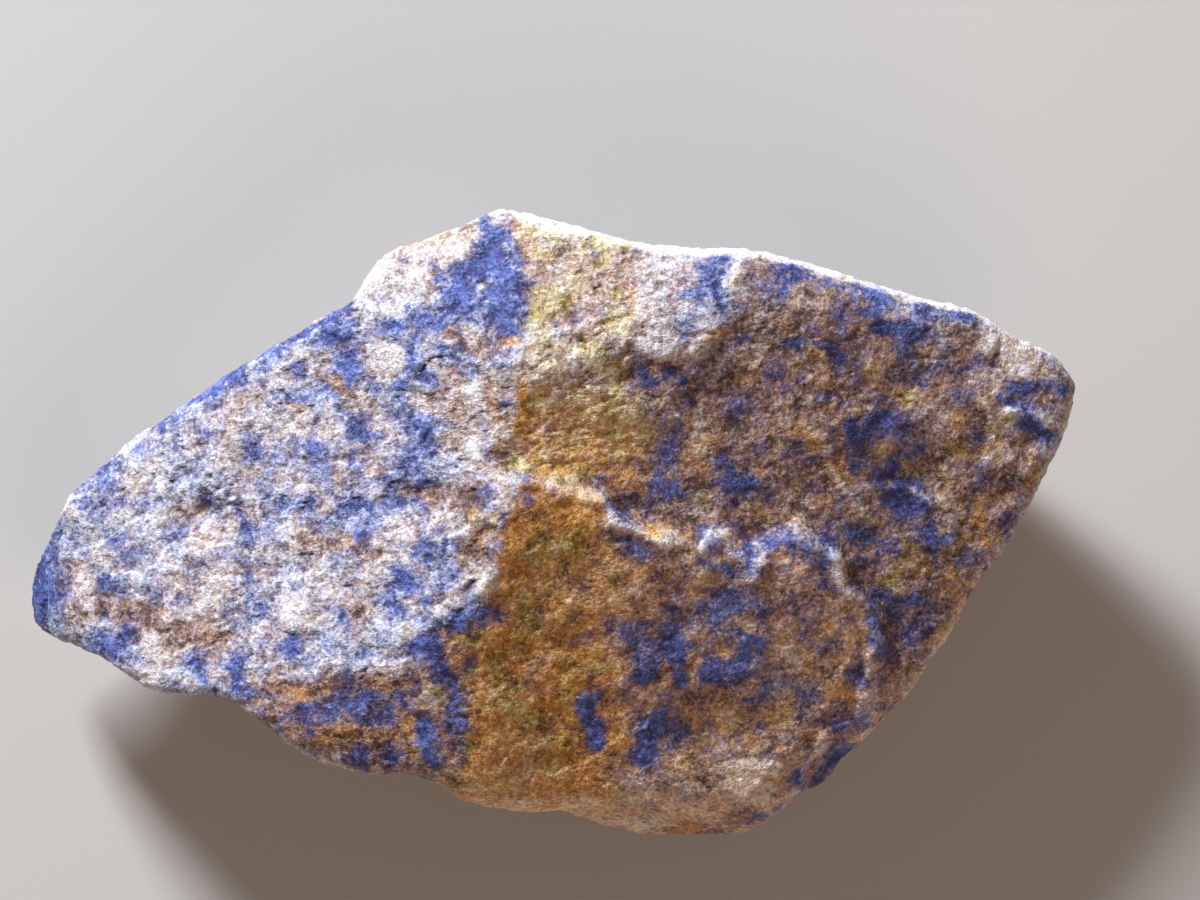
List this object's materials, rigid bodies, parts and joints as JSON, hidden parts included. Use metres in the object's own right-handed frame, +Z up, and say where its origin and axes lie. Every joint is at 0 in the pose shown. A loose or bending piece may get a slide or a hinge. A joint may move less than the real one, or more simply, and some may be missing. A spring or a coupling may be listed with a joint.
{
  "type": "rough lapis lazuli",
  "caption": "Rough, uncut lump of lapis lazuli with a broad fractured face of blue, brown and cream, lying on a flat spot on its back.",
  "frame": {"origin": "on the surface that the stone rests on, under the middle of its outline", "axes": "+X along the length of the stone to its blunt right tip, +Y across it to the apex of the outline, +Z up, out of the broad fractured face"},
  "size_m": [0.1011, 0.06, 0.0303],
  "materials": {
    "lapis_rock": "matte"
  },
  "bodies": {
    "root": {"lapis_stone": "lapis_rock"}
  },
  "joints": []
}
